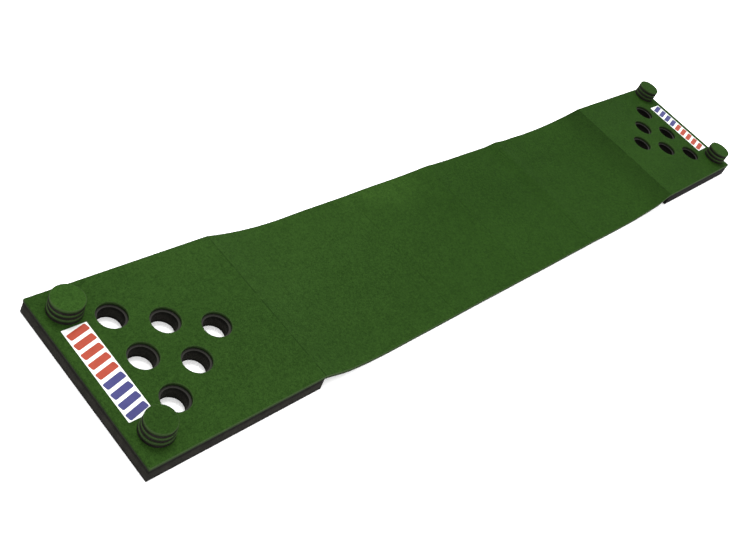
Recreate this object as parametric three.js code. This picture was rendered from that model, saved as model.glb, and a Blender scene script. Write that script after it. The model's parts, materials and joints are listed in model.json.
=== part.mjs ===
// Practice putting mat: one long strip of short-nap turf with a flat foam pad glued under
// each end. Six holes in a 3-2-1 triangle go through each pad, a printed label lies behind
// them, and a stack of hole covers stands near each outer corner. The turf runs down from the
// pads to the floor, and has fold lines where it is folded for storage.
//
// Millimetres. +X runs along the mat from the near end to the far end, +Y across it, +Z up.
// The origin is on the floor, under the centre of the mat.

import * as THREE from 'three';

// ---- overall ----
const MAT_LENGTH = 3550;
const MAT_WIDTH = 610;

// ---- layers, from the floor up ----
const FOAM_THICKNESS = 47;
const BACKING_THICKNESS = 3.5;
const PILE_THICKNESS = 9;
const LABEL_THICKNESS = 0.8;
const FACE_GAP = 0.3; // between pieces that lie on each other

// ---- pads ----
const PAD_LENGTH = 640;
const FOAM_INSET = 0.5; // the turf overhangs the foam by this much at the sides and the end

// ---- holes: a triangle with its base row towards the outer end ----
const HOLE_RADIUS = 47; // in the turf
const FOAM_LEDGE = 7; // the foam's holes are this much tighter, and leave a ledge all round
const HOLE_ROWS = [3, 2, 1]; // holes in each row, from the outer end inwards
const FIRST_ROW_FROM_END = 188;
const ROW_PITCH = 131;
const HOLE_PITCH = 156;

// ---- label: it fills the space that the stacks of covers leave ----
const LABEL_TO_COVER = 4;
const LABEL_WIDTH = 80;
const LABEL_FROM_END = 70; // to its centre line

// ---- hole covers ----
const COVER_OVERLAP = 3; // a cover is this much larger than a hole, all round, and so it grips
const COVER_FOAM_THICKNESS = 9.5;
const COVER_PILE_THICKNESS = 8.6;
const COVER_PILE_INSET = 0.5; // the turf disc is cut this much smaller than its foam
// The gaps that each loose stack leaves to the mat's end and to its side.
const STACK_GAPS = {
  near_front: [30, 36],
  near_back: [28, 31],
  far_front: [4, 24],
  far_back: [2, 3],
};

// ---- ramps and folds ----
const RAMP_RUN = { near: 335, far: 425 }; // from the pad's edge to where the turf is flat
const SIDE_FOLD_FROM_CENTRE = 462;
const FOLD_GAP = 0.6; // between the two panels of a fold
const RAMP_STEPS = 12;

const ROUND_SEGMENTS = 32;

// ---- worked out from the above ----
const PILE_BOTTOM = BACKING_THICKNESS + FACE_GAP; // above the underside of the backing
const TURF_THICKNESS = PILE_BOTTOM + PILE_THICKNESS;
const PAD_BACKING_BOTTOM = FOAM_THICKNESS + FACE_GAP;
const PAD_TOP = PAD_BACKING_BOTTOM + TURF_THICKNESS;
const COVER_RADIUS = HOLE_RADIUS + COVER_OVERLAP;
const COVER_THICKNESS = COVER_FOAM_THICKNESS + FACE_GAP + COVER_PILE_THICKNESS;
const WIDEST_SIDE_GAP = Math.max(...Object.values(STACK_GAPS).map(([, toSide]) => toSide));
const STACK_INNER_EDGE = MAT_WIDTH / 2 - WIDEST_SIDE_GAP - 2 * COVER_RADIUS;
const LABEL_LENGTH = 2 * (STACK_INNER_EDGE - LABEL_TO_COVER);

function material(color, roughness) {
  return new THREE.MeshStandardMaterial({ color, roughness, metalness: 0 });
}

const turfMaterial = material(0x365423, 0.95);
const coverTurfMaterial = material(0x3d6129, 0.95);
const backingMaterial = material(0x4a4a44, 0.9);
const foamMaterial = material(0x2d2a28, 0.85);
const labelMaterial = material(0xf6f7f3, 0.5);

function piece(name, geometry, finish) {
  const mesh = new THREE.Mesh(geometry, finish);
  mesh.name = name;
  return mesh;
}

// A flat sheet or block: x from `start` to `end`, `width` across, with round holes.
function plate(start, end, width, thickness, holes = [], holeRadius = HOLE_RADIUS) {
  const outline = new THREE.Shape();
  outline.moveTo(start, -width / 2);
  outline.lineTo(end, -width / 2);
  outline.lineTo(end, width / 2);
  outline.lineTo(start, width / 2);
  outline.closePath();
  for (const [x, y] of holes) {
    outline.holes.push(new THREE.Path().absarc(x, y, holeRadius, 0, 2 * Math.PI, true));
  }
  return new THREE.ExtrudeGeometry(outline, {
    depth: thickness,
    bevelEnabled: false,
    curveSegments: ROUND_SEGMENTS / 2, // a full circle gets twice this many
  });
}

// A strip of sheet that runs down from a pad: its underside follows `heightAt`, between
// `lift` and `lift + thickness` above it, from x = `start` to x = `end`.
function rampStrip(start, rampEnd, end, heightAt, lift, thickness) {
  const stations = [];
  for (let i = 0; i <= RAMP_STEPS; i += 1) {
    stations.push(start + ((rampEnd - start) * i) / RAMP_STEPS);
  }
  stations.push(end);
  const section = new THREE.Shape();
  section.moveTo(start, heightAt(start) + lift);
  for (const x of stations.slice(1)) {
    section.lineTo(x, heightAt(x) + lift);
  }
  for (const x of stations.reverse()) {
    section.lineTo(x, heightAt(x) + lift + thickness);
  }
  section.closePath();
  const strip = new THREE.ExtrudeGeometry(section, { depth: MAT_WIDTH, bevelEnabled: false });
  strip.rotateX(Math.PI / 2); // the section's y becomes z, and the extrusion runs along -y
  strip.translate(0, MAT_WIDTH / 2, 0);
  return strip;
}

// A disc lying flat, with its underside at z = 0.
function disc(radius, thickness) {
  const round = new THREE.CylinderGeometry(radius, radius, thickness, ROUND_SEGMENTS);
  round.rotateX(Math.PI / 2); // a cylinder stands along y; the disc lies across z
  round.translate(0, 0, thickness / 2);
  return round;
}

// The centres of one pad's holes, with x measured from the outer end.
function holeCentres() {
  const centres = [];
  HOLE_ROWS.forEach((count, row) => {
    for (let i = 0; i < count; i += 1) {
      const across = (i - (count - 1) / 2) * HOLE_PITCH;
      centres.push([FIRST_ROW_FROM_END + row * ROW_PITCH, across]);
    }
  });
  return centres;
}

// ---- one pad, with the turf over it and its label; x runs inwards from the outer end ----
function makePad(end) {
  const pad = new THREE.Group();
  const holes = holeCentres();
  const innerEdge = PAD_LENGTH - FOLD_GAP / 2;

  const foamWidth = MAT_WIDTH - 2 * FOAM_INSET;
  const foamHole = HOLE_RADIUS - FOAM_LEDGE;
  const foamBlock = plate(FOAM_INSET, innerEdge, foamWidth, FOAM_THICKNESS, holes, foamHole);
  pad.add(piece(`${end}_pad_foam`, foamBlock, foamMaterial));

  const backingSheet = plate(0, innerEdge, MAT_WIDTH, BACKING_THICKNESS, holes);
  const backing = piece(`${end}_pad_backing`, backingSheet, backingMaterial);
  backing.position.z = PAD_BACKING_BOTTOM;
  pad.add(backing);

  const turfSheet = plate(0, innerEdge, MAT_WIDTH, PILE_THICKNESS, holes);
  const turf = piece(`${end}_pad_turf`, turfSheet, turfMaterial);
  turf.position.z = PAD_BACKING_BOTTOM + PILE_BOTTOM;
  pad.add(turf);

  const labelGeometry = new THREE.BoxGeometry(LABEL_WIDTH, LABEL_LENGTH, LABEL_THICKNESS);
  const label = piece(`${end}_label`, labelGeometry, labelMaterial);
  label.position.set(LABEL_FROM_END, 0, PAD_TOP + FACE_GAP + LABEL_THICKNESS / 2);
  pad.add(label);
  return pad;
}

// ---- the turf panel that runs down from a pad and along the floor to the side fold ----
function makeRamp(end) {
  const ramp = new THREE.Group();
  const start = PAD_LENGTH + FOLD_GAP / 2;
  const rampEnd = PAD_LENGTH + RAMP_RUN[end];
  const fold = MAT_LENGTH / 2 - SIDE_FOLD_FROM_CENTRE - FOLD_GAP / 2;
  // Steepest at the pad's edge, where the turf is creased, and level where it meets the floor.
  const heightAt = (x) => {
    const left = THREE.MathUtils.clamp((rampEnd - x) / RAMP_RUN[end], 0, 1);
    return PAD_BACKING_BOTTOM * left * left;
  };
  const backing = rampStrip(start, rampEnd, fold, heightAt, 0, BACKING_THICKNESS);
  const turf = rampStrip(start, rampEnd, fold, heightAt, PILE_BOTTOM, PILE_THICKNESS);
  ramp.add(piece(`${end}_ramp_backing`, backing, backingMaterial));
  ramp.add(piece(`${end}_ramp_turf`, turf, turfMaterial));
  return ramp;
}

// ---- the flat turf panel between the side fold and the centre fold ----
function makeCentrePanel(end) {
  const panel = new THREE.Group();
  const start = MAT_LENGTH / 2 - SIDE_FOLD_FROM_CENTRE + FOLD_GAP / 2;
  const centre = MAT_LENGTH / 2 - FOLD_GAP / 2;
  const backing = plate(start, centre, MAT_WIDTH, BACKING_THICKNESS);
  panel.add(piece(`${end}_centre_backing`, backing, backingMaterial));
  const pile = plate(start, centre, MAT_WIDTH, PILE_THICKNESS);
  const turf = piece(`${end}_centre_turf`, pile, turfMaterial);
  turf.position.z = PILE_BOTTOM;
  panel.add(turf);
  return panel;
}

// ---- a stack of hole covers, each a foam disc with a turf disc on top ----
function makeCoverStack(prefix) {
  const stack = new THREE.Group();
  ['bottom', 'middle', 'top'].forEach((level, i) => {
    const cover = new THREE.Group();
    cover.position.z = i * (COVER_THICKNESS + FACE_GAP);
    const foam = disc(COVER_RADIUS, COVER_FOAM_THICKNESS);
    cover.add(piece(`${prefix}_cover_${level}_foam`, foam, foamMaterial));
    const pile = disc(COVER_RADIUS - COVER_PILE_INSET, COVER_PILE_THICKNESS);
    const turf = piece(`${prefix}_cover_${level}_turf`, pile, coverTurfMaterial);
    turf.position.z = COVER_FOAM_THICKNESS + FACE_GAP;
    cover.add(turf);
    stack.add(cover);
  });
  return stack;
}

// ---- the mat: two ends, each built inwards from its outer edge ----
const mat = new THREE.Group();
const sides = { front: -1, back: 1 };

for (const end of ['near', 'far']) {
  const half = new THREE.Group();
  const direction = end === 'near' ? 1 : -1;
  half.position.x = (-direction * MAT_LENGTH) / 2;
  half.rotation.z = end === 'near' ? 0 : Math.PI;
  half.add(makePad(end), makeRamp(end), makeCentrePanel(end));
  for (const [side, sign] of Object.entries(sides)) {
    const stack = makeCoverStack(`${end}_${side}`);
    const [toEnd, toSide] = STACK_GAPS[`${end}_${side}`];
    const fromMiddle = MAT_WIDTH / 2 - toSide - COVER_RADIUS;
    const across = sign * direction * fromMiddle;
    stack.position.set(toEnd + COVER_RADIUS, across, PAD_TOP + FACE_GAP);
    half.add(stack);
  }
  mat.add(half);
}

export default mat;
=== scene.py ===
import json
import math
import random

import bmesh
import bpy
from mathutils import Matrix, Quaternion, Vector


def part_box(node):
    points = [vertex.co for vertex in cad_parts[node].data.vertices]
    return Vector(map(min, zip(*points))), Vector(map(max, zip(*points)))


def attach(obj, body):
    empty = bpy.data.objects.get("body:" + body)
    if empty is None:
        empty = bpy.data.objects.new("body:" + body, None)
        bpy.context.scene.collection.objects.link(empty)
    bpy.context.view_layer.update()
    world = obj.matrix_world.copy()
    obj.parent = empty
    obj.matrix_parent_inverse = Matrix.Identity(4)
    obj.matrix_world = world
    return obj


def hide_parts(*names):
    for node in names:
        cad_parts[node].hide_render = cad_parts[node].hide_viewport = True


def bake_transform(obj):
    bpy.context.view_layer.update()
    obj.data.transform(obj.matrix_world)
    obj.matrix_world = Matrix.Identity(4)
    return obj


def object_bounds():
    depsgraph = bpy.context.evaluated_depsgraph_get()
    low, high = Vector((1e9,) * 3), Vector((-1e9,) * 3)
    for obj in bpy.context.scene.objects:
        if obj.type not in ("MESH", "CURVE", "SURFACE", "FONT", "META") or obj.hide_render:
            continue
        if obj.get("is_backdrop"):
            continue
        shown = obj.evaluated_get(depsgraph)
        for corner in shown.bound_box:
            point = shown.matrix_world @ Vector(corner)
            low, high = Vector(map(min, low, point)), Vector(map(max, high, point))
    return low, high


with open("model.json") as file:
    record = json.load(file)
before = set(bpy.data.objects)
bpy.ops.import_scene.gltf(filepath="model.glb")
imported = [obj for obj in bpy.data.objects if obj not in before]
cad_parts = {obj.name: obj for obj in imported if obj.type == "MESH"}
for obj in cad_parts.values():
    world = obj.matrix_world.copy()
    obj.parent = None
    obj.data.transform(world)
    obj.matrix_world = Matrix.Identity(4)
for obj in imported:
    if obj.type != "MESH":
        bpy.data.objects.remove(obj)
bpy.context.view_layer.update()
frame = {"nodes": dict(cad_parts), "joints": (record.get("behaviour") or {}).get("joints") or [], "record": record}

# ---------------------------------------------------------------------------------------------
# The studio. The mat lies on a pale floor with a white surround, under one broad soft light high
# overhead, behind it and a little towards its far end, so that the sides facing the viewer and
# the holes' walls stay dark.
# ---------------------------------------------------------------------------------------------
FLOOR_SIDE = 40.0
FLOOR_DROP = 0.0006
FLOOR_COLOUR = (0.90, 0.90, 0.90, 1.0)
FLOOR_ROUGHNESS = 0.9
FLOOR_SHINE = 0.1
FLOOR_GLOW = 0.28  # the floor is a lit table, so shadows on it are faint
WHITE = (1.0, 1.0, 1.0, 1.0)
SURROUND_STRENGTH = 1.65
LIGHT_STRENGTH = 3.0
LIGHT_WIDTH = math.radians(22)
LIGHT_FROM = Vector((0.24, 0.36, 1.0))
EYE = Vector((-2.937, -1.099, 2.196))
AIM = Vector((-0.617, -0.029, 0.0))
CAMERA_ROLL = math.radians(30.8)
LENS = 46.5
NEAREST_SEEN = 0.01
FURTHEST_SEEN = 100.0

camera = bpy.data.cameras.new("camera")
camera.lens = LENS
camera.clip_start = NEAREST_SEEN
camera.clip_end = FURTHEST_SEEN
camera_holder = bpy.data.objects.new("camera", camera)
camera_holder.location = EYE
camera_holder.rotation_mode = "QUATERNION"
camera_holder.rotation_quaternion = (AIM - EYE).to_track_quat("-Z", "Y") @ Quaternion(
    (0, 0, 1), CAMERA_ROLL
)
bpy.context.scene.collection.objects.link(camera_holder)
bpy.context.scene.camera = camera_holder
bpy.context.scene.view_settings.view_transform = "Standard"

world = bpy.data.worlds.new("surround")
world.use_nodes = True
surround = world.node_tree.nodes["Background"]
surround.inputs["Color"].default_value = WHITE
surround.inputs["Strength"].default_value = SURROUND_STRENGTH
bpy.context.scene.world = world

light = bpy.data.lights.new("overhead light", "SUN")
light.energy = LIGHT_STRENGTH
light.angle = LIGHT_WIDTH
light_holder = bpy.data.objects.new("overhead light", light)
light_holder.rotation_mode = "QUATERNION"
light_holder.rotation_quaternion = LIGHT_FROM.to_track_quat("Z", "Y")
bpy.context.scene.collection.objects.link(light_holder)

bpy.ops.mesh.primitive_plane_add(size=FLOOR_SIDE, location=(0, 0, -FLOOR_DROP))
floor = bpy.context.object
floor.name = "floor"
bpy.ops.object.transform_apply(location=True, rotation=True, scale=True)
floor_finish = bpy.data.materials.new("floor paper")
floor_finish.use_nodes = True
floor_shader = floor_finish.node_tree.nodes["Principled BSDF"]
floor_shader.inputs["Base Color"].default_value = FLOOR_COLOUR
floor_shader.inputs["Roughness"].default_value = FLOOR_ROUGHNESS
floor_shader.inputs["Specular IOR Level"].default_value = FLOOR_SHINE
floor_shader.inputs["Emission Color"].default_value = WHITE
floor_shader.inputs["Emission Strength"].default_value = FLOOR_GLOW
floor.data.materials.append(floor_finish)
floor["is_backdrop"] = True

# ---------------------------------------------------------------------------------------------
# The foam pads. Each is one slab of dark closed-cell foam, sawn square, with six round holes
# punched through it, tighter than those in the turf, so that a ledge of foam shows all round.
# The punch leaves fine rings down the wall and a softened rim.
# ---------------------------------------------------------------------------------------------
FOAM_EDGE = 0.0016
FOAM_EDGE_STEPS = 2
FOAM_SIDE_STEP = 0.02
FOAM_FLARE = 0.0042  # the foam's long sides lean out this much at the floor
FLARE_WIDTH = 0.03
SHARP_ANGLE = 1.0
SMOOTH_DEGREES = 35

HOLE_SIDES = 96
PUNCH_PAST = 0.01  # the punch starts and stops this far outside the slab
PUNCH_RINGS = 14
PUNCH_UNEVEN = 0.00035
RING_WANDER = 0.35  # how far a ring strays from its even place, in steps
CLEAR_MARGIN = 0.012

FOAM_DARK = (0.0062, 0.0058, 0.0048)
FOAM_LIGHT = (0.0185, 0.0175, 0.0145)
FOAM_TONES = {"near": 1.0, "far": 0.45}  # the far pad's foam is the darker one
FOAM_SHINE = 0.02
BLACK = (0.0, 0.0, 0.0, 1.0)
# the sizes of the foam's cells, saw streaks and worn patches, and the depth of their relief
FOAM_CELL = 0.0018
FOAM_STREAK = 0.0022
FOAM_PATCH = 0.035
FOAM_RELIEF = 0.0006
# it is darkened at its foot, where it meets the floor, and just under the turf's overhang, both by
# painted shade, and it is dusty on the ledge inside each hole
FOOT_SHADE_BELOW = (0.002, 0.012)
FOOT_SHADING = 0.6
OVERHANG_SHADE_ABOVE = (0.030, 0.040)
OVERHANG_SHADING = 0.45
LEDGE_FROM = (0.0452, 0.0466)
LEDGE_DUST = (0.0290, 0.0285, 0.0250, 1.0)
DUSTING = 0.8


class Wire:
    """A socket of a material's node tree, so that shader maths reads as plain sums."""

    def __init__(self, tree, socket):
        self.tree = tree
        self.socket = socket

    def node(self, kind, settings=None, values=None, out=0):
        made = self.tree.nodes.new(kind)
        for key, value in (settings or {}).items():
            setattr(made, key, value)
        for key, value in (values or {}).items():
            if isinstance(value, Wire):
                self.tree.links.new(value.socket, made.inputs[key])
            else:
                made.inputs[key].default_value = value
        return Wire(self.tree, made.outputs[out])

    def maths(self, operation, *terms, clamp=False):
        settings = {"operation": operation, "use_clamp": clamp}
        return self.node("ShaderNodeMath", settings, dict(enumerate(terms)))

    def __add__(self, other):
        return self.maths("ADD", self, other)

    def __sub__(self, other):
        return self.maths("SUBTRACT", self, other)

    def __rsub__(self, other):
        return self.maths("SUBTRACT", other, self)

    def __mul__(self, other):
        return self.maths("MULTIPLY", self, other)

    __radd__ = __add__
    __rmul__ = __mul__

    def clamped(self):
        return self.maths("ADD", self, 0.0, clamp=True)

    def between(self, low, high):
        """0 below low, 1 above high and a smooth rise from one to the other."""
        settings = {"interpolation_type": "SMOOTHSTEP"}
        values = {"Value": self, "From Min": low, "From Max": high}
        return self.node("ShaderNodeMapRange", settings, values)

    def noise(self, size, detail=2.0, roughness=0.5):
        """Noise whose blotches are about `size` metres across, read at these coordinates."""
        values = {"Vector": self, "Scale": 1.0 / size, "Detail": detail, "Roughness": roughness}
        return self.node("ShaderNodeTexNoise", {}, values)

    def stretched(self, x, y, z):
        values = {"Vector": self, "Scale": (x, y, z)}
        return self.node("ShaderNodeMapping", {}, values)

    def mixed(self, first, second):
        """A colour that goes from `first` to `second` as this value goes from 0 to 1."""
        settings = {"data_type": "RGBA"}
        values = {"Factor": self, 6: first, 7: second}
        return self.node("ShaderNodeMix", settings, values, out=2)

    def tinted(self, tint):
        """This colour, dimmed by a tint."""
        settings = {"operation": "MULTIPLY"}
        return self.node("ShaderNodeVectorMath", settings, {0: self, 1: tint[:3]})

    def bumped(self, strength, depth):
        """The normal of a surface whose relief follows this value."""
        values = {"Height": self, "Strength": strength, "Distance": depth}
        return self.node("ShaderNodeBump", {}, values)


def new_finish(name):
    """A material, its Principled shader and its Object coordinates."""
    finish = bpy.data.materials.new(name)
    finish.use_nodes = True
    tree = finish.node_tree
    shader = tree.nodes["Principled BSDF"]
    start = Wire(tree, None)
    place = start.node("ShaderNodeTexCoord", out="Object")
    return finish, shader, place


def feed(shader, **sockets):
    """Links wires to the shader's sockets; a plain number or colour is set on the socket."""
    for key, value in sockets.items():
        name = key.replace("_", " ").title()
        if isinstance(value, Wire):
            value.tree.links.new(value.socket, shader.inputs[name])
        else:
            shader.inputs[name].default_value = value


def foam_finish(name, tone, in_pad=False):
    """Dark closed-cell foam. A pad's has painted shade at its foot and just under its top, and is dusty on its
    top.
    """
    finish, shader, place = new_finish(name)
    cells = place.noise(FOAM_CELL, 1.0, 0.6)
    streaks = place.stretched(0.06, 0.06, 1.0).noise(FOAM_STREAK, 2.0, 0.6)
    patches = place.noise(FOAM_PATCH, 3.0, 0.6)
    dusty = (cells * 0.5 + patches * 0.5).between(0.34, 0.68)
    dark = tuple(c * tone for c in FOAM_DARK) + (1.0,)
    light = tuple(c * tone for c in FOAM_LIGHT) + (1.0,)
    colour = dusty.mixed(dark, light)
    if in_pad:
        height = place.node("ShaderNodeSeparateXYZ", {}, {0: place}, out=2)
        # painted shade at the foot, where the foam meets the floor, and just under the turf's overhang
        foot_unshaded = height.between(*FOOT_SHADE_BELOW) * FOOT_SHADING + (1 - FOOT_SHADING)
        overhang_unshaded = 1.0 - height.between(*OVERHANG_SHADE_ABOVE) * OVERHANG_SHADING
        colour = (foot_unshaded * overhang_unshaded).mixed(BLACK, colour)
        colour = (height.between(*LEDGE_FROM) * DUSTING).mixed(colour, LEDGE_DUST)
    relief = cells * 0.6 + streaks * 0.6
    feed(
        shader,
        base_color=colour,
        roughness=patches * 0.25 + 0.62,
        normal=relief.bumped(0.55, FOAM_RELIEF),
    )
    shader.inputs["Specular IOR Level"].default_value = FOAM_SHINE
    return finish


def deselect_all():
    if bpy.context.mode != "OBJECT":
        bpy.ops.object.mode_set(mode="OBJECT")
    bpy.ops.object.select_all(action="DESELECT")


def work_on(piece):
    deselect_all()
    piece.select_set(True)
    bpy.context.view_layer.objects.active = piece


def apply_modifier(piece, name, kind, **settings):
    work_on(piece)
    modifier = piece.modifiers.new(name, kind)
    for key, value in settings.items():
        setattr(modifier, key, value)
    bpy.ops.object.modifier_apply(modifier=modifier.name)


def select_edges(piece, wanted):
    """Goes into edit mode with only the edges that `wanted` says yes to selected."""
    work_on(piece)
    bpy.ops.object.mode_set(mode="EDIT")
    bpy.ops.mesh.select_mode(type="EDGE")
    bpy.ops.mesh.select_all(action="DESELECT")
    mesh = bmesh.from_edit_mesh(piece.data)
    for edge in mesh.edges:
        edge.select = wanted(edge)
    mesh.select_flush_mode()
    bmesh.update_edit_mesh(piece.data)


def is_sharp(edge):
    return len(edge.link_faces) == 2 and edge.calc_face_angle(0.0) > SHARP_ANGLE


def round_edges(piece, wanted, width, steps):
    """Bevels the edges that `wanted` says yes to."""
    select_edges(piece, wanted)
    bpy.ops.mesh.bevel(offset=width, segments=steps, affect="EDGES")
    bpy.ops.object.mode_set(mode="OBJECT")


def join_pieces(pieces):
    """Makes one piece of several, in the first one's place."""
    deselect_all()
    for piece in pieces:
        piece.select_set(True)
    bpy.context.view_layer.objects.active = pieces[0]
    bpy.ops.object.join()
    return pieces[0]


def add_block(name, low, high):
    """A box from its lowest to its highest corner, with its place in its mesh."""
    deselect_all()
    bpy.ops.mesh.primitive_cube_add(size=1.0, location=(low + high) / 2, scale=high - low)
    block = bpy.context.object
    block.name = name
    bpy.ops.object.transform_apply(location=True, rotation=True, scale=True)
    return block


def hole_places(end):
    """The centres of one pad's holes."""
    centres = []
    for opening in frame["record"]["physics"]["openings"]:
        if opening["name"].startswith(end + "_hole"):
            low, high = opening["box_m"]
            centres.append(((low[0] + high[0]) / 2, (low[1] + high[1]) / 2))
    return centres


def hole_radius(end, layer):
    """The nearest that one layer of the pad comes to a hole's centre."""
    x, y = hole_places(end)[0]
    corners = frame["nodes"][f"{end}_pad_{layer}"].data.vertices
    return min(math.hypot(v.co.x - x, v.co.y - y) for v in corners)


def add_punch(centres, radius, bottom, top, rings, uneven, seed):
    """Cutters for a pad's holes; `rings` steps of slightly different radius mark the wall."""
    draw = random.Random(seed)
    deselect_all()
    cutters = []
    for x, y in centres:
        bpy.ops.mesh.primitive_cylinder_add(
            vertices=HOLE_SIDES, radius=radius, depth=top - bottom, location=(x, y, (top + bottom) / 2)
        )
        cutter = bpy.context.object
        bpy.ops.object.transform_apply(location=True, rotation=True, scale=True)
        bpy.ops.object.mode_set(mode="EDIT")
        for i in range(1, rings):
            height = bottom + (top - bottom) * (i + draw.uniform(-RING_WANDER, RING_WANDER)) / rings
            bpy.ops.mesh.select_all(action="SELECT")
            bpy.ops.mesh.bisect(plane_co=(x, y, height), plane_no=(0, 0, 1))
            share = 1 + draw.uniform(-uneven, uneven) / radius
            bpy.ops.transform.resize(value=(share, share, 1), center_override=(x, y, height))
        bpy.ops.object.mode_set(mode="OBJECT")
        cutters.append(cutter)
    return join_pieces(cutters)


def clear_ground(piece, centres, radius):
    """Merges the faces round each hole into one, so that its rim meets no short edges."""
    work_on(piece)
    bpy.ops.object.mode_set(mode="EDIT")
    bpy.ops.mesh.select_mode(type="VERT")
    bpy.ops.mesh.select_all(action="DESELECT")
    mesh = bmesh.from_edit_mesh(piece.data)
    for vertex in mesh.verts:
        place = vertex.co
        away = min(math.hypot(place.x - x, place.y - y) for x, y in centres)
        vertex.select = away < radius + CLEAR_MARGIN
    mesh.select_flush_mode()
    bmesh.update_edit_mesh(piece.data)
    bpy.ops.mesh.dissolve_verts()
    bpy.ops.object.mode_set(mode="OBJECT")


def cut_away(piece, cutter):
    apply_modifier(piece, "cut", "BOOLEAN", operation="DIFFERENCE", solver="EXACT", object=cutter)
    bpy.data.objects.remove(cutter, do_unlink=True)


def smooth_by_angle(piece, degrees=SMOOTH_DEGREES):
    work_on(piece)
    bpy.ops.object.shade_smooth_by_angle(angle=math.radians(degrees))


def smooth_step(value):
    """A smooth rise from 0 to 1 as the value goes from 0 to 1."""
    value = min(1.0, max(0.0, value))
    return value * value * (3 - 2 * value)


def add_foam_slab(end):
    """One pad's foam, with its holes punched and its long sides leaning out at the floor."""
    low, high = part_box(f"{end}_pad_foam")
    centres = hole_places(end)
    radius = hole_radius(end, "foam")
    slab = add_block(f"{end}_foam_slab", low, high)
    bpy.ops.object.mode_set(mode="EDIT")
    steps_along = round((high.x - low.x) / FOAM_SIDE_STEP)
    steps_across = round((high.y - low.y) / FOAM_SIDE_STEP)
    for i in range(1, steps_along):
        bpy.ops.mesh.select_all(action="SELECT")
        x = low.x + (high.x - low.x) * i / steps_along
        bpy.ops.mesh.bisect(plane_co=(x, 0, 0), plane_no=(1, 0, 0))
    for i in range(1, steps_across):
        bpy.ops.mesh.select_all(action="SELECT")
        y = low.y + (high.y - low.y) * i / steps_across
        bpy.ops.mesh.bisect(plane_co=(0, y, 0), plane_no=(0, 1, 0))
    bpy.ops.object.mode_set(mode="OBJECT")
    clear_ground(slab, centres, radius)
    punch = add_punch(
        centres,
        radius,
        low.z - PUNCH_PAST,
        high.z + PUNCH_PAST,
        PUNCH_RINGS,
        PUNCH_UNEVEN,
        seed=3,
    )
    cut_away(slab, punch)
    round_edges(slab, is_sharp, FOAM_EDGE, FOAM_EDGE_STEPS)
    for vertex in slab.data.vertices:
        beside = smooth_step(1 - (high.y - abs(vertex.co.y)) / FLARE_WIDTH)
        lowness = 1 - (vertex.co.z - low.z) / (high.z - low.z)
        vertex.co.y += math.copysign(FOAM_FLARE * beside * lowness, vertex.co.y)
    smooth_by_angle(slab)
    return slab


for end, tone in FOAM_TONES.items():
    slab = add_foam_slab(end)
    slab.data.materials.append(foam_finish(f"{end} pad foam", tone, in_pad=True))
    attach(slab, f"{end}_pad")
    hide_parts(f"{end}_pad_foam")

# ---------------------------------------------------------------------------------------------
# The backing. Under the turf is a thin, tough, dark grey-green sheet that the tufts are sewn
# through and locked into. It is glued to the pads and lies loose between them, and its cut edge
# shows all round the mat and inside each hole.
# ---------------------------------------------------------------------------------------------
SHEET_STEP = 0.0125
SAME_PLACE = 1e-5  # places nearer than this are taken as one
FOLD_REACH = 0.016  # how far each side of a fold line the turf bends
PAD_FOLD_ON_PAD = 0.006  # and how far on a pad and off it
PAD_FOLD_OFF_PAD = 0.024
WAVE_CLEAR = 0.12  # the low humps die away within this distance of a ramp's foot
# centre along the mat, half length, height and lean across the mat of each low hump
HUMPS = (
    (-0.34, 0.13, 0.0030, 0.5),
    (-0.01, 0.17, 0.0045, 0.5),
    (0.00, 0.04, 0.0022, 0.6),
    (0.27, 0.10, 0.0022, 0.2),
    (0.478, 0.045, 0.0060, 0.5),
)
CREASE_DEPTH = 0.0010
CREASE_HALF_WIDTH = 0.007
CREASE_STEP = 0.005
EDGE_CURL = 0.0020  # the loose edges lift by up to this much, in slow waves
EDGE_CURL_WIDTH = 0.05
CURL_ALONG = 9.0
CURL_ACROSS = 2.0
FRONT_BOW = 0.0055  # how far the loose turf's front edge stands out past the pads'
BOW_START = 0.12
BACKING_DARK = (0.0055, 0.0078, 0.0040, 1.0)
BACKING_LIGHT = (0.0125, 0.0165, 0.0085, 1.0)
BACKING_SHINE = 0.05
WEAVE = 0.0016
WEAVE_RELIEF = 0.0004
BACKING_BLOTCH = 0.03

half_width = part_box("near_pad_turf")[1].y
joints = {joint["name"]: joint for joint in frame["joints"]}
pad_fold = {end: joints[f"{end}_pad_fold"]["pos_m"][0] for end in ("near", "far")}
panel_fold = {end: joints[f"{end}_panel_fold"]["pos_m"][0] for end in ("near", "far")}
centre_fold = joints["centre_fold"]["pos_m"][0]
pad_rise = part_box("near_pad_backing")[0].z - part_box("near_centre_backing")[0].z


def ramp_foot(end):
    """Where the turf coming down from a pad reaches the floor: its CAD solid is lowest there."""
    points = [v.co for v in frame["nodes"][f"{end}_ramp_backing"].data.vertices]
    lowest = min(p.z for p in points)
    return min((p.x for p in points if p.z < lowest + SAME_PLACE), key=lambda x: -abs(x))


foot = {end: ramp_foot(end) for end in ("near", "far")}


def rise(x):
    """How far the turf is above its place on the floor: up on the pads, down along the ramps."""
    end = "near" if x < 0 else "far"
    left = min(1.0, max(0.0, (foot[end] - x) / (foot[end] - pad_fold[end])))
    return pad_rise * left * left


def wave(x, y):
    """The low humps and fold marks that the loose turf keeps between its ramps."""
    calm = smooth_step((x - foot["near"]) / WAVE_CLEAR) * smooth_step((foot["far"] - x) / WAVE_CLEAR)
    if calm == 0.0:
        return 0.0
    across = y / half_width
    height = 0.0
    for centre, reach, top, lean in HUMPS:
        height += top * math.exp(-(((x - centre) / reach) ** 2)) * (1 + lean * across)
    for fold in (panel_fold["near"], centre_fold, panel_fold["far"]):
        height -= CREASE_DEPTH * math.exp(-(((x - fold) / CREASE_HALF_WIDTH) ** 2))
    near_edge = smooth_step(1 - (half_width - abs(y)) / EDGE_CURL_WIDTH)
    lift = 0.5 + 0.5 * math.sin(CURL_ALONG * x + CURL_ACROSS * across)
    height += EDGE_CURL * near_edge * lift
    return max(0.0, height + CREASE_DEPTH) * calm


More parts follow.
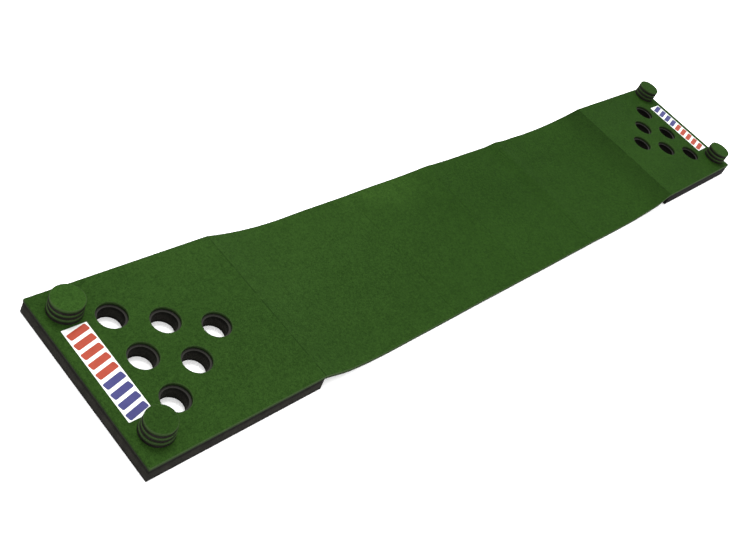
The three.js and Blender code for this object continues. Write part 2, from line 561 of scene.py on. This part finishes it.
def bow(x, y):
    """How far the loose turf has crept forwards between the pads, most at its front edge."""
    past = smooth_step((x - pad_fold["near"]) / BOW_START)
    before = smooth_step((pad_fold["far"] - x) / BOW_START)
    return -FRONT_BOW * past * before * smooth_step(0.5 - y / half_width)


def lay_down(piece):
    """Keeps each point's place on the flat cloth, then lays the cloth over the pads and floor."""
    mesh = piece.data
    flat = mesh.attributes.new("flat", "FLOAT_VECTOR", "POINT")
    for vertex, kept in zip(mesh.vertices, flat.data):
        kept.vector = vertex.co
        x, y, z = vertex.co
        vertex.co = (x, y + bow(x, y), z + rise(x) + wave(x, y))


def add_sheet(name, start, end, bottom, top, holes=(), radius=0.0):
    """A flat closed sheet from x = start to x = end, as it would lie on the floor."""
    deselect_all()
    bpy.ops.mesh.primitive_grid_add(
        x_subdivisions=round((end - start) / SHEET_STEP),
        y_subdivisions=round(2 * half_width / SHEET_STEP),
        size=1.0,
    )
    sheet = bpy.context.object
    sheet.name = name
    sheet.scale = (end - start, 2 * half_width, 1)
    sheet.location = ((start + end) / 2, 0, top)
    bpy.ops.object.transform_apply(location=True, rotation=True, scale=True)
    bpy.ops.object.mode_set(mode="EDIT")
    for fold in (*pad_fold.values(), *panel_fold.values(), centre_fold):
        for x in (fold - CREASE_STEP, fold, fold + CREASE_STEP):
            if start < x < end:
                bpy.ops.mesh.select_all(action="SELECT")
                bpy.ops.mesh.bisect(plane_co=(x, 0, 0), plane_no=(1, 0, 0))
    bpy.ops.object.mode_set(mode="OBJECT")
    if holes:
        clear_ground(sheet, holes, radius)
    apply_modifier(sheet, "thickness", "SOLIDIFY", thickness=top - bottom, offset=-1.0)
    if holes:
        punch = add_punch(holes, radius, bottom - PUNCH_PAST, top + PUNCH_PAST, 1, 0.0, seed=1)
        cut_away(sheet, punch)
    return sheet


def backing_finish():
    finish, shader, place = new_finish("turf backing")
    weave = place.stretched(1.0, 0.35, 1.0).noise(WEAVE, 2.0, 0.6)
    blotches = place.noise(BACKING_BLOTCH, 2.0, 0.5)
    worn = (weave * 0.6 + blotches * 0.4).between(0.35, 0.65)
    feed(
        shader,
        base_color=worn.mixed(BACKING_DARK, BACKING_LIGHT),
        roughness=blotches * 0.2 + 0.7,
        normal=weave.bumped(0.5, WEAVE_RELIEF),
    )
    shader.inputs["Specular IOR Level"].default_value = BACKING_SHINE
    return finish


# Each length of cloth crosses one fold, and meets the next halfway between two folds.
near_join = (foot["near"] + panel_fold["near"]) / 2
near_centre_join = (panel_fold["near"] + centre_fold) / 2
far_centre_join = (panel_fold["far"] + centre_fold) / 2
far_join = (foot["far"] + panel_fold["far"]) / 2
outer_end = {"near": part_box("near_pad_turf")[0].x, "far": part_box("far_pad_turf")[1].x}

# name, where it starts and ends, the two bodies either side of the fold that it crosses, where its bend
# starts and ends, and the CAD panels that it stands for
LENGTHS = (
    (
        "near_end",
        (outer_end["near"], near_join),
        ("near_pad", "near_ramp"),
        (pad_fold["near"] - PAD_FOLD_ON_PAD, pad_fold["near"] + PAD_FOLD_OFF_PAD),
        ("near_pad",),
    ),
    (
        "near_fold",
        (near_join, near_centre_join),
        ("near_ramp", "near_centre"),
        (panel_fold["near"] - FOLD_REACH, panel_fold["near"] + FOLD_REACH),
        ("near_ramp",),
    ),
    (
        "middle",
        (near_centre_join, far_centre_join),
        ("near_centre", "far_centre"),
        (centre_fold - FOLD_REACH, centre_fold + FOLD_REACH),
        ("near_centre", "far_centre"),
    ),
    (
        "far_fold",
        (far_centre_join, far_join),
        ("far_centre", "far_ramp"),
        (panel_fold["far"] - FOLD_REACH, panel_fold["far"] + FOLD_REACH),
        ("far_ramp",),
    ),
    (
        "far_end",
        (far_join, outer_end["far"]),
        ("far_ramp", "far_pad"),
        (pad_fold["far"] - PAD_FOLD_OFF_PAD, pad_fold["far"] + PAD_FOLD_ON_PAD),
        ("far_pad",),
    ),
)
holes = {"near_end": hole_places("near"), "far_end": hole_places("far")}
turf_hole_radius = hole_radius("near", "turf")


def join_to_bodies(piece):
    """Bakes a length of cloth's place into its mesh; it is joined to no body."""
    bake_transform(piece)


backing = backing_finish()
low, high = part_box("near_centre_backing")
for name, (start, stop), bodies, bend, panels in LENGTHS:
    sheet = add_sheet(
        f"{name}_backing", start, stop, low.z, high.z, holes.get(name, ()), turf_hole_radius
    )
    lay_down(sheet)
    smooth_by_angle(sheet)
    sheet.data.materials.append(backing)
    join_to_bodies(sheet)
    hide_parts(*(f"{panel}_backing" for panel in panels))
    stop - start

# ---------------------------------------------------------------------------------------------
# The turf. Short dense nylon pile, cut level, deep green, sewn into the backing. It is pressed a
# little flat where the mat has been folded, and its cut edges fray into loose, paler fibres.
# ---------------------------------------------------------------------------------------------
PILE_EDGE = 0.0026  # the rounding of the pile's rim
PILE_EDGE_STEPS = 3
PILE_SMOOTH_DEGREES = 50
# the pile's rim and its cut side, measured in from the edge and down from the top
AT_EDGE = 0.0004
RIM_WIDTH = PILE_EDGE * 1.1
RIM_DEPTH = PILE_EDGE * 1.5
RIM_TOP = PILE_EDGE * 0.02
# how pale each cut edge's rim is painted: partly frayed fibres, partly a painted highlight
SIDE_PALE = 1.0
END_PALE = 0.0
HOLE_PALE = 0.5
FIBRE_PALE = 0.4

FIBRE_GAP = 0.0013
FIBRE_ROOT = 0.0024  # how far below the top of the pile an edge fibre starts
FIBRE_SET_BACK = 0.0003  # and how far in from the edge
FIBRE_HEIGHT = (0.0012, 0.0032)
FIBRE_KNEE = 0.55  # the share of its height at which it bends
FIBRE_LEAN = (-0.0002, 0.0016)
FIBRE_SWAY = 0.0008
FIBRE_WIDTH = (0.0004, 0.0009)

# the sizes of the single tufts, the clumps, the mottling and the brushed bands
TUFT = 0.0030
CLUMP = 0.009
MOTTLE = 0.060
BRUSHED = 0.40
PILE_RELIEF = 0.0012
TURF_SHINE = 0.03
TURF_DARK = (0.0072, 0.0212, 0.0028)
TURF_LIGHT = (0.0180, 0.0460, 0.0073)
# the rim's colour is partly frayed fibres and partly a painted highlight
TURF_RIM = (0.0330, 0.0540, 0.0210, 1.0)
# painted shade: the pile's cut side, darkened as its fibres shade one another
TURF_SIDE_SHADE = (0.0075, 0.0165, 0.0036, 1.0)
# how dark the painted shade along each fold is, where the pile is parted
CREASE_SHADES = {
    pad_fold["near"]: 0.20,
    panel_fold["near"]: 0.12,
    centre_fold: 0.09,
    panel_fold["far"]: 0.13,
    pad_fold["far"]: 0.20,
}
CREASE_LINE = 0.0035
CREASE_BREAKS = (0.38, 0.62)  # the mottling breaks the line up between these values
# the pile is painted a little darker towards the far end: painted shade, where the light falls off
FAR_SHADE_FROM = (-1.3, 0.3)
FAR_SHADE_TINT = (0.78, 0.86, 0.66, 1.0)
# it is painted darkest up the far ramp: painted shade on the slope that leans away from the light
RAMP_SHADE_FROM = (pad_fold["far"] - 0.22, pad_fold["far"] - 0.02)
RAMP_SHADE_TO = (pad_fold["far"] - 0.001, pad_fold["far"] + 0.004)
RAMP_SHADE_TINT = (0.76, 0.76, 0.76, 1.0)
# and painted paler at the back, between the near fold and the middle: a painted highlight on the hump there
BACK_HIGHLIGHT_FROM = (-0.62, -0.30)
BACK_HIGHLIGHT_TO = (-0.25, 0.10)
BACK_HIGHLIGHT_ACROSS = (0.10, half_width)
BACK_HIGHLIGHT_TINT = (1.45, 1.35, 1.45, 1.0)


def soften_rim(sheet, width, steps, height, joins):
    """Rounds the cut edges at one height, but not the ends where the next length joins on."""

    def at_rim(edge):
        first, second = (v.co for v in edge.verts)
        level = abs(first.z - height) < SAME_PLACE and abs(second.z - height) < SAME_PLACE
        joined = any(
            abs(first.x - x) < SAME_PLACE and abs(second.x - x) < SAME_PLACE for x in joins
        )
        return level and not joined and is_sharp(edge)

    round_edges(sheet, at_rim, width, steps)


def turf_finish(name, brightness=1.0, crease_shades=None):
    """Green pile. The mat's own reads its places on the flat cloth, with painted shade along its folds, towards
    the far end and up the far ramp, and a painted highlight at the back.
    """
    finish, shader, place = new_finish(name)
    rim = place.node("ShaderNodeAttribute", {"attribute_name": "rim"}, out=2)
    side = place.node("ShaderNodeAttribute", {"attribute_name": "side"}, out=2)
    if crease_shades:
        place = place.node("ShaderNodeAttribute", {"attribute_name": "flat"}, out=1)
    tufts = place.stretched(1.0, 1.0, 0.4).noise(TUFT, 3.0, 0.65)
    clumps = place.noise(CLUMP, 2.0, 0.6)
    mottling = place.noise(MOTTLE, 2.0, 0.5)
    brushed = place.stretched(0.5, 1.0, 1.0).noise(BRUSHED, 2.0, 0.5)
    depth = tufts * 0.56 + clumps * 0.26 + mottling * 0.06 + brushed * 0.12
    if crease_shades:
        along = place.node("ShaderNodeSeparateXYZ", {}, {0: place})
        # painted shade in a thin line along each fold
        for fold, strength in crease_shades.items():
            away = (along - fold).maths("ABSOLUTE", along - fold)
            line = 1.0 - away.between(0.0, CREASE_LINE)
            fold_shade = line * mottling.between(*CREASE_BREAKS)
            depth = depth - fold_shade * clumps * 2 * strength
    green = depth.between(0.36, 0.64).mixed(
        tuple(c * brightness for c in TURF_DARK) + (1.0,),
        tuple(c * brightness for c in TURF_LIGHT) + (1.0,),
    )
    if crease_shades:
        # painted shade towards the far end
        green = along.between(*FAR_SHADE_FROM).mixed(green, green.tinted(FAR_SHADE_TINT))
        # painted shade up the far ramp
        ramp_shade = along.between(*RAMP_SHADE_FROM) * (1.0 - along.between(*RAMP_SHADE_TO))
        green = ramp_shade.mixed(green, green.tinted(RAMP_SHADE_TINT))
        # painted highlight at the back, between the near fold and the middle
        across = place.node("ShaderNodeSeparateXYZ", {}, {0: place}, out=1)
        back_highlight = along.between(*BACK_HIGHLIGHT_FROM) * (1.0 - along.between(*BACK_HIGHLIGHT_TO))
        back_highlight = back_highlight * across.between(*BACK_HIGHLIGHT_ACROSS) * (mottling + 0.5)
        green = back_highlight.clamped().mixed(green, green.tinted(BACK_HIGHLIGHT_TINT))
    # the rim: painted pale, partly frayed fibres and partly a painted highlight; the cut side: painted shade
    frayed_and_highlit = (rim * (tufts * 0.9 + 0.35)).clamped().mixed(green, TURF_RIM)
    colour = (side * 0.9).mixed(frayed_and_highlit, TURF_SIDE_SHADE)
    relief = tufts * 0.7 + clumps * 0.3
    feed(
        shader,
        base_color=colour,
        roughness=tufts * 0.15 + 0.82,
        normal=relief.bumped(0.8, PILE_RELIEF),
    )
    shader.inputs["Specular IOR Level"].default_value = TURF_SHINE
    return finish


def mark_cut_edge(piece, top, distance):
    """Marks the pile's rim, painted pale as frayed fibres and a painted highlight, and its cut side, painted dark
    as shade; `distance` is to the nearest cut edge.
    """
    rim = piece.data.attributes.new("rim", "FLOAT", "POINT")
    side = piece.data.attributes.new("side", "FLOAT", "POINT")
    for vertex, on_rim, on_side in zip(piece.data.vertices, rim.data, side.data):
        away, pale = distance(vertex.co.x, vertex.co.y)
        below = top - vertex.co.z
        if away < AT_EDGE and below > RIM_DEPTH:
            on_side.value = 1.0
            on_rim.value = pale
        elif away < RIM_WIDTH and RIM_TOP < below < RIM_DEPTH:
            on_rim.value = pale


def cloth_edge_distance(end_x, centres, radius):
    """How far a place on the flat cloth is from its nearest cut edge, and how pale that is."""

    def distance(x, y):
        nearest = (half_width - abs(y), SIDE_PALE)
        if end_x is not None:
            nearest = min(nearest, (abs(x - end_x), END_PALE))
        for hole_x, hole_y in centres:
            away = abs(math.hypot(x - hole_x, y - hole_y) - radius)
            nearest = min(nearest, (away, HOLE_PALE))
        return nearest

    return distance


def add_fibres(name, paths, top, seed):
    """Loose fibres along cut edges. A path is a list of (x, y, outward x, outward y)."""
    draw = random.Random(seed)
    points, faces = [], []
    for path in paths:
        for x, y, out_x, out_y in path:
            outward = Vector((out_x, out_y, 0))
            beside = Vector((-out_y, out_x, 0))
            base = Vector((x, y, top(x, y) - FIBRE_ROOT)) - outward * FIBRE_SET_BACK
            lean = outward * draw.uniform(*FIBRE_LEAN)
            side = beside * draw.uniform(*FIBRE_WIDTH) / 2
            sway = beside * draw.uniform(-FIBRE_SWAY, FIBRE_SWAY)
            height = Vector((0, 0, draw.uniform(*FIBRE_HEIGHT)))
            middle = base + height * FIBRE_KNEE + lean * 0.35 + sway * 0.4
            tip = base + height + lean + sway
            n = len(points)
            points += [base - side, base + side, middle - side * 0.8, middle + side * 0.8, tip]
            faces += [(n, n + 1, n + 3, n + 2), (n + 2, n + 3, n + 4)]
    mesh = bpy.data.meshes.new(name)
    mesh.from_pydata([tuple(p) for p in points], [], faces)
    flat = mesh.attributes.new("flat", "FLOAT_VECTOR", "POINT")
    rim = mesh.attributes.new("rim", "FLOAT", "POINT")
    for vertex, kept, on_rim in zip(mesh.vertices, flat.data, rim.data):
        kept.vector = vertex.co
        on_rim.value = FIBRE_PALE
    fibres = bpy.data.objects.new(name, mesh)
    bpy.context.scene.collection.objects.link(fibres)
    return fibres


def straight_path(first, second, outward):
    """A straight row of fibre places, leaning outward."""
    run = Vector(second) - Vector(first)
    count = int(run.length / FIBRE_GAP)
    path = []
    for i in range(count):
        spot = Vector(first) + run * (i + 0.5) / count
        path.append((spot.x, spot.y, outward[0], outward[1]))
    return path


def round_path(x, y, radius, outward):
    """A circle of fibre places, leaning out from the centre (1) or in over a hole (-1)."""
    count = int(2 * math.pi * radius / FIBRE_GAP)
    path = []
    for i in range(count):
        turn = 2 * math.pi * i / count
        c, s = math.cos(turn), math.sin(turn)
        path.append((x + radius * c, y + radius * s, outward * c, outward * s))
    return path


pile_bottom, pile_top = (corner.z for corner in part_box("near_centre_turf"))


def laid_top(x, y):
    """The top of the pile where the cloth lies."""
    return pile_top + rise(x) + wave(x, y)


turf = turf_finish("turf", crease_shades=CREASE_SHADES)
for seed, (name, (start, stop), bodies, bend, panels) in enumerate(LENGTHS):
    centres = holes.get(name, ())
    sheet = add_sheet(
        f"{name}_turf", start, stop, pile_bottom, pile_top, centres, turf_hole_radius
    )
    end_x = {"near_end": start, "far_end": stop}.get(name)
    soften_rim(sheet, PILE_EDGE, PILE_EDGE_STEPS, pile_top, {start, stop} - {end_x})
    mark_cut_edge(sheet, pile_top, cloth_edge_distance(end_x, centres, turf_hole_radius))
    lay_down(sheet)
    smooth_by_angle(sheet, PILE_SMOOTH_DEGREES)
    sheet.data.materials.append(turf)

    paths = [
        straight_path((start, -half_width), (stop, -half_width), (0, -1)),
        straight_path((start, half_width), (stop, half_width), (0, 1)),
    ]
    if end_x is not None:
        outward = (1 if end_x > 0 else -1, 0)
        paths.append(straight_path((end_x, -half_width), (end_x, half_width), outward))
    paths += [round_path(x, y, turf_hole_radius, -1) for x, y in centres]
    fibres = add_fibres(f"{name}_fibres", paths, laid_top, seed)
    for vertex in fibres.data.vertices:
        vertex.co.y += bow(vertex.co.x, vertex.co.y)
    fibres.data.materials.append(turf)

    join_to_bodies(sheet)
    join_to_bodies(fibres)
    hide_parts(*(f"{panel}_turf" for panel in panels))
    stop - start

# ---------------------------------------------------------------------------------------------
# The labels. A strip of white vinyl with rounded corners is stuck to the turf of each pad; a row
# of red and blue vinyl bars is laid on it.
# ---------------------------------------------------------------------------------------------
LABEL_CORNER = 0.002
LABEL_CORNER_STEPS = 5
LABEL_EDGE = 0.0003
LABEL_EDGE_STEPS = 2
BAR_COUNT = 9
RED_COUNT = 5
BAR_MARGIN = 0.004  # from the bars to the label's edges
BAR_SHARE = 0.64  # of the space that each one has
BAR_THICKNESS = 0.00012  # half of it
BAR_LEAN = math.radians(14)
BAR_CORNER = 0.005
BAR_CORNER_STEPS = 4
UPRIGHT = 0.9  # an edge that rises by this share of its length stands upright
RED = (0.235, 0.023, 0.005, 1.0)
BLUE = (0.018, 0.018, 0.102, 1.0)
VINYL_WHITE = (0.60, 0.62, 0.59, 1.0)
VINYL_SHINE = 0.15
VINYL_DIMPLE = 0.004
VINYL_RELIEF = 0.0006
SMUDGE = 0.03
SMUDGED = 0.90  # how much of its brightness is left where it is smudged


def vinyl_finish(name, colour):
    finish, shader, place = new_finish(name)
    dimples = place.noise(VINYL_DIMPLE, 2.0, 0.5)
    smudges = place.noise(SMUDGE, 3.0, 0.55)
    soiled = smudges.between(0.35, 0.75)
    dull = tuple(c * SMUDGED for c in colour[:3]) + (1.0,)
    feed(
        shader,
        base_color=soiled.mixed(colour, dull),
        roughness=smudges * 0.25 + 0.33,
        normal=dimples.bumped(0.25, VINYL_RELIEF),
    )
    shader.inputs["Specular IOR Level"].default_value = VINYL_SHINE
    return finish


def is_upright(edge):
    first, second = (v.co for v in edge.verts)
    return abs(first.z - second.z) > UPRIGHT * (first - second).length and is_sharp(edge)


def rim_at(height):
    """Says whether an edge is a sharp one that lies at this height."""
    return lambda edge: is_sharp(edge) and min(v.co.z for v in edge.verts) > height - SAME_PLACE


def add_label(end):
    """One pad's white strip, with round corners and a softened rim."""
    low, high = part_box(f"{end}_label")
    label = add_block(f"{end}_label_strip", low, high)
    round_edges(label, is_upright, LABEL_CORNER, LABEL_CORNER_STEPS)
    round_edges(label, rim_at(high.z), LABEL_EDGE, LABEL_EDGE_STEPS)
    smooth_by_angle(label)
    return label


def add_bars(end, name, first, count):
    """A run of the label's bars, joined into one piece."""
    low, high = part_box(f"{end}_label")
    pitch = (high.y - low.y - 2 * BAR_MARGIN) / BAR_COUNT
    facing = 1 if end == "near" else -1
    middle = (low + high) / 2
    long_half = (high.x - low.x) / 2 - BAR_MARGIN
    deselect_all()
    bars = []
    for i in range(first, first + count):
        y = facing * (BAR_COUNT / 2 - 0.5 - i) * pitch
        bpy.ops.mesh.primitive_cube_add(size=2.0)
        bar = bpy.context.object
        bar.scale = (long_half, pitch / 2 * BAR_SHARE, BAR_THICKNESS)
        bar.rotation_euler = (0, 0, BAR_LEAN)
        bar.location = (middle.x, middle.y + y, high.z + BAR_THICKNESS)
        bpy.ops.object.transform_apply(location=True, rotation=True, scale=True)
        round_edges(bar, is_upright, BAR_CORNER, BAR_CORNER_STEPS)
        bars.append(bar)
    run = join_pieces(bars)
    run.name = f"{end}_label_{name}"
    return run


white_vinyl = vinyl_finish("white vinyl", VINYL_WHITE)
red_vinyl = vinyl_finish("red vinyl", RED)
blue_vinyl = vinyl_finish("blue vinyl", BLUE)
for end in ("near", "far"):
    label = add_label(end)
    label.data.materials.append(white_vinyl)
    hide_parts(f"{end}_label")
    red = add_bars(end, "red", 0, RED_COUNT)
    red.data.materials.append(red_vinyl)
    blue = add_bars(end, "blue", RED_COUNT, BAR_COUNT - RED_COUNT)
    blue.data.materials.append(blue_vinyl)
    for piece in (label, red, blue):
        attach(piece, f"{end}_pad")

# ---------------------------------------------------------------------------------------------
# The hole covers. Each is a disc punched from the pad's foam with a disc of the turf glued on
# top. One is made and copied to every place in the four stacks, each turned a little.
# ---------------------------------------------------------------------------------------------
COVER_SIDES = 80
COVER_EDGE = 0.0012
COVER_EDGE_STEPS = 2
COVER_RINGS = 5
COVER_UNEVEN = 0.0003
COVER_TOP_INSETS = (0.004, 0.012, 0.016)
COVER_CROWN = 0.0006
# the covers' rim is painted pale: partly frayed fibres, partly a painted highlight
COVER_PALE = 0.8
COVER_FOAM_TONE = 0.8
TOP_FACE_LEAST = 0.001  # in square metres: only the top's one large face is bigger
COVER_SHIFT = 0.0009  # how far out of line the covers of a stack lie
# how bright each stack's turf is painted, beside the mat's: painted light and shade, as each stack is lit
# differently
COVER_LIGHT_AND_SHADE = {"near_front": 0.86, "near_back": 1.20, "far_front": 1.0, "far_back": 0.94}
# how large the bottom, middle and top cover of a stack are, beside a true one
COVER_SIZES = {
    "near_front": (1.04, 0.99, 0.95),
    "near_back": (1.04, 1.01, 1.01),
    "far_front": (1.00, 1.02, 1.02),
    "far_back": (1.01, 1.00, 1.00),
}


def add_disc(name, radius, bottom, top):
    """A plain disc over the origin."""
    deselect_all()
    bpy.ops.mesh.primitive_cylinder_add(
        vertices=COVER_SIDES, radius=radius, depth=top - bottom, location=(0, 0, (top + bottom) / 2)
    )
    disc = bpy.context.object
    disc.name = name
    bpy.ops.object.transform_apply(location=True, rotation=True, scale=True)
    return disc


def ring_wall(disc, radius, bottom, top, seed):
    """The punch's fine rings round a foam disc's wall."""
    draw = random.Random(seed)
    work_on(disc)
    bpy.ops.object.mode_set(mode="EDIT")
    for i in range(1, COVER_RINGS):
        height = bottom + (top - bottom) * i / COVER_RINGS
        bpy.ops.mesh.select_all(action="SELECT")
        bpy.ops.mesh.bisect(plane_co=(0, 0, height), plane_no=(0, 0, 1))
        share = 1 + draw.uniform(-COVER_UNEVEN, 0) / radius
        bpy.ops.transform.resize(value=(share, share, 1), center_override=(0, 0, height))
    bpy.ops.object.mode_set(mode="OBJECT")


def add_cover(prefix, foam_box, turf_box):
    """A cover's foam, turf and fibres, standing on z = 0 over the origin."""
    base = foam_box[0].z
    foam_top = foam_box[1].z - base
    turf_bottom, turf_top = turf_box[0].z - base, turf_box[1].z - base
    foam_radius = (foam_box[1].x - foam_box[0].x) / 2
    turf_radius = (turf_box[1].x - turf_box[0].x) / 2

    pad = add_disc(f"{prefix}_foam_disc", foam_radius, 0.0, foam_top)
    ring_wall(pad, foam_radius, 0.0, foam_top, seed=5)
    round_edges(pad, is_sharp, COVER_EDGE, COVER_EDGE_STEPS)
    smooth_by_angle(pad)
    pad.data.materials.append(cover_foam)

    top = add_disc(f"{prefix}_turf_disc", turf_radius, turf_bottom, turf_top)
    round_edges(top, rim_at(turf_top), PILE_EDGE, PILE_EDGE_STEPS)
    bpy.ops.object.mode_set(mode="EDIT")
    bpy.ops.mesh.select_all(action="DESELECT")
    mesh = bmesh.from_edit_mesh(top.data)
    for face in mesh.faces:
        face.select = face.normal.z > 0.99 and face.calc_area() > TOP_FACE_LEAST
    bmesh.update_edit_mesh(top.data)
    for inset in COVER_TOP_INSETS:
        bpy.ops.mesh.inset(thickness=inset)
    bpy.ops.object.mode_set(mode="OBJECT")
    mark_cut_edge(top, turf_top, lambda x, y: (turf_radius - math.hypot(x, y), COVER_PALE))
    for vertex in top.data.vertices:
        if vertex.co.z > turf_top - SAME_PLACE:
            out = math.hypot(vertex.co.x, vertex.co.y) / turf_radius
            vertex.co.z += COVER_CROWN * (1 - out * out)
    smooth_by_angle(top, PILE_SMOOTH_DEGREES)

    paths = [round_path(0, 0, turf_radius, 1)]
    fibres = add_fibres(f"{prefix}_fibres", paths, lambda x, y: turf_top, seed=11)
    return pad, top, fibres


def copy_to(piece, name, placed):
    """A copy with its own mesh, moved to its place in it."""
    made = piece.copy()
    made.data = piece.data.copy()
    made.name = name
    made.data.transform(placed)
    bpy.context.scene.collection.objects.link(made)
    return made


cover_foam = foam_finish("cover foam", COVER_FOAM_TONE)
# each stack's turf is the same turf made brighter and darker by painted light and shade
cover_turf = {
    stack: turf_finish(f"{stack} cover turf".replace("_", " "), tone)
    for stack, tone in COVER_LIGHT_AND_SHADE.items()
}
pattern = "near_front_cover_bottom"
cover = add_cover("cover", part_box(f"{pattern}_foam"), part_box(f"{pattern}_turf"))
draw = random.Random(21)
for end in ("near", "far"):
    for side in ("front", "back"):
        for level, size in zip(("bottom", "middle", "top"), COVER_SIZES[f"{end}_{side}"]):
            body = f"{end}_{side}_cover_{level}"
            low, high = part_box(f"{body}_foam")
            place = Vector(((low.x + high.x) / 2, (low.y + high.y) / 2, low.z))
            if level != "bottom":
                place.x += draw.uniform(-COVER_SHIFT, COVER_SHIFT)
                place.y += draw.uniform(-COVER_SHIFT, COVER_SHIFT)
            turn = Matrix.Rotation(draw.uniform(0, 2 * math.pi), 4, "Z")
            placed = Matrix.Translation(place) @ turn @ Matrix.Diagonal((size, size, 1, 1))
            disc, top, fibres = (
                copy_to(piece, piece.name.replace("cover", body, 1), placed) for piece in cover
            )
            for piece in (top, fibres):
                piece.data.materials.append(cover_turf[f"{end}_{side}"])
            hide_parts(f"{body}_foam")
            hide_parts(f"{body}_turf")
            for piece in (disc, top, fibres):
                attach(piece, body)
for piece in cover:
    bpy.data.objects.remove(piece, do_unlink=True)

low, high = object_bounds()
